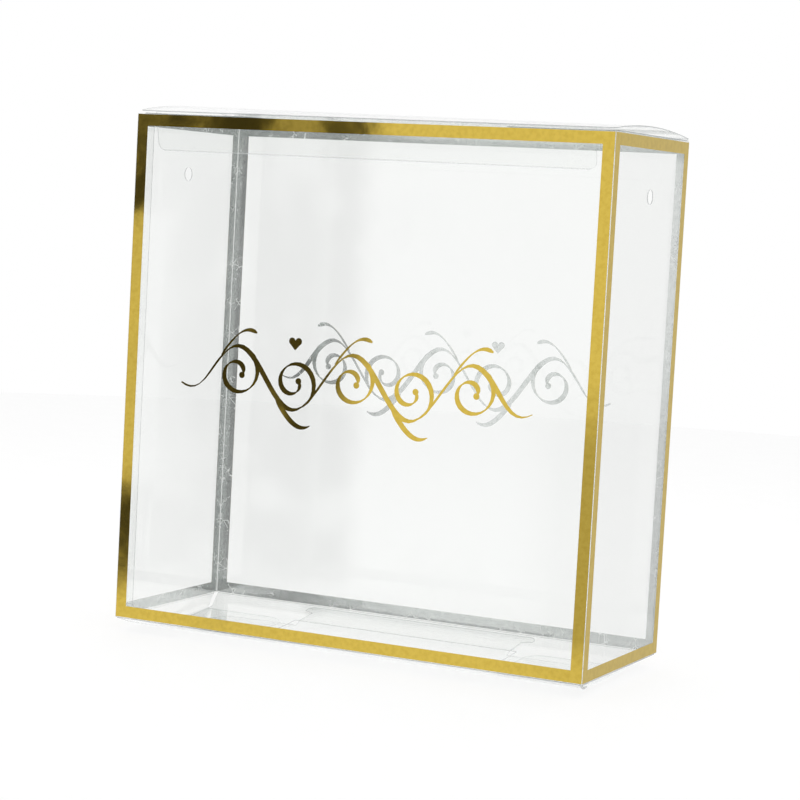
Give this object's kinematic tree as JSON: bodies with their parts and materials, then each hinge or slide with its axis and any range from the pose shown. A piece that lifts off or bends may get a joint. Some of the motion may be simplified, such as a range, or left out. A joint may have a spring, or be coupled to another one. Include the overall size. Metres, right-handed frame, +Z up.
{
  "type": "folding clear card box",
  "caption": "Tall clear film carton with bright metallic foil borders and a foil flourish, a bowed tuck-in lid and a snap-lock bottom, for wedding cards.",
  "frame": {"origin": "middle of the flat underside of the bottom", "axes": "+X to the right along the front panel, +Y from the front panel to the back panel, +Z up"},
  "size_m": [0.25, 0.1002, 0.2624],
  "materials": {
    "clear_film": "clear glossy PVC film, faint grey tint",
    "gold_foil": "mirror-bright hot-stamped metallic foil, silver on its inner face"
  },
  "bodies": {
    "box": {"front_panel": "clear_film", "right_panel": "clear_film", "back_panel": "clear_film", "left_panel": "clear_film", "glue_flap": "clear_film", "bottom_front_flap": "clear_film", "bottom_left_flap": "clear_film", "bottom_right_flap": "clear_film", "bottom_back_flap": "clear_film", "front_foil_border": "gold_foil", "right_foil_border": "gold_foil", "back_foil_border": "gold_foil", "left_foil_border": "gold_foil", "front_foil_flourish": "gold_foil", "back_foil_flourish": "gold_foil", "front_foil_heart": "gold_foil", "back_foil_heart": "gold_foil"},
    "lid": {"lid_panel": "clear_film"},
    "tuck": {"tuck_flap": "clear_film"},
    "left_dust": {"left_dust_flap": "clear_film"},
    "right_dust": {"right_dust_flap": "clear_film"}
  },
  "joints": [
    {"name": "lid_hinge", "type": "hinge", "parent": "box", "child": "lid", "pos_m": [0, 0.05, 0.2586], "axis": [-1, 0, 0], "range_deg": [0, 250]},
    {"name": "tuck_fold", "type": "hinge", "parent": "lid", "child": "tuck", "pos_m": [0, -0.0492, 0.2586], "axis": [-1, 0, 0], "range_deg": [0, 87.5]},
    {"name": "left_dust_fold", "type": "hinge", "parent": "box", "child": "left_dust", "pos_m": [-0.125, 0, 0.2576], "axis": [0, -1, 0], "range_deg": [0, 100]},
    {"name": "right_dust_fold", "type": "hinge", "parent": "box", "child": "right_dust", "pos_m": [0.125, 0, 0.2576], "axis": [0, 1, 0], "range_deg": [0, 100]}
  ],
  "couplings": [
    {"joint": "tuck_fold", "follows": "lid_hinge", "ratio": 0.35},
    {"joint": "left_dust_fold", "follows": "lid_hinge", "ratio": 0.4},
    {"joint": "right_dust_fold", "follows": "lid_hinge", "ratio": 0.4}
  ]
}
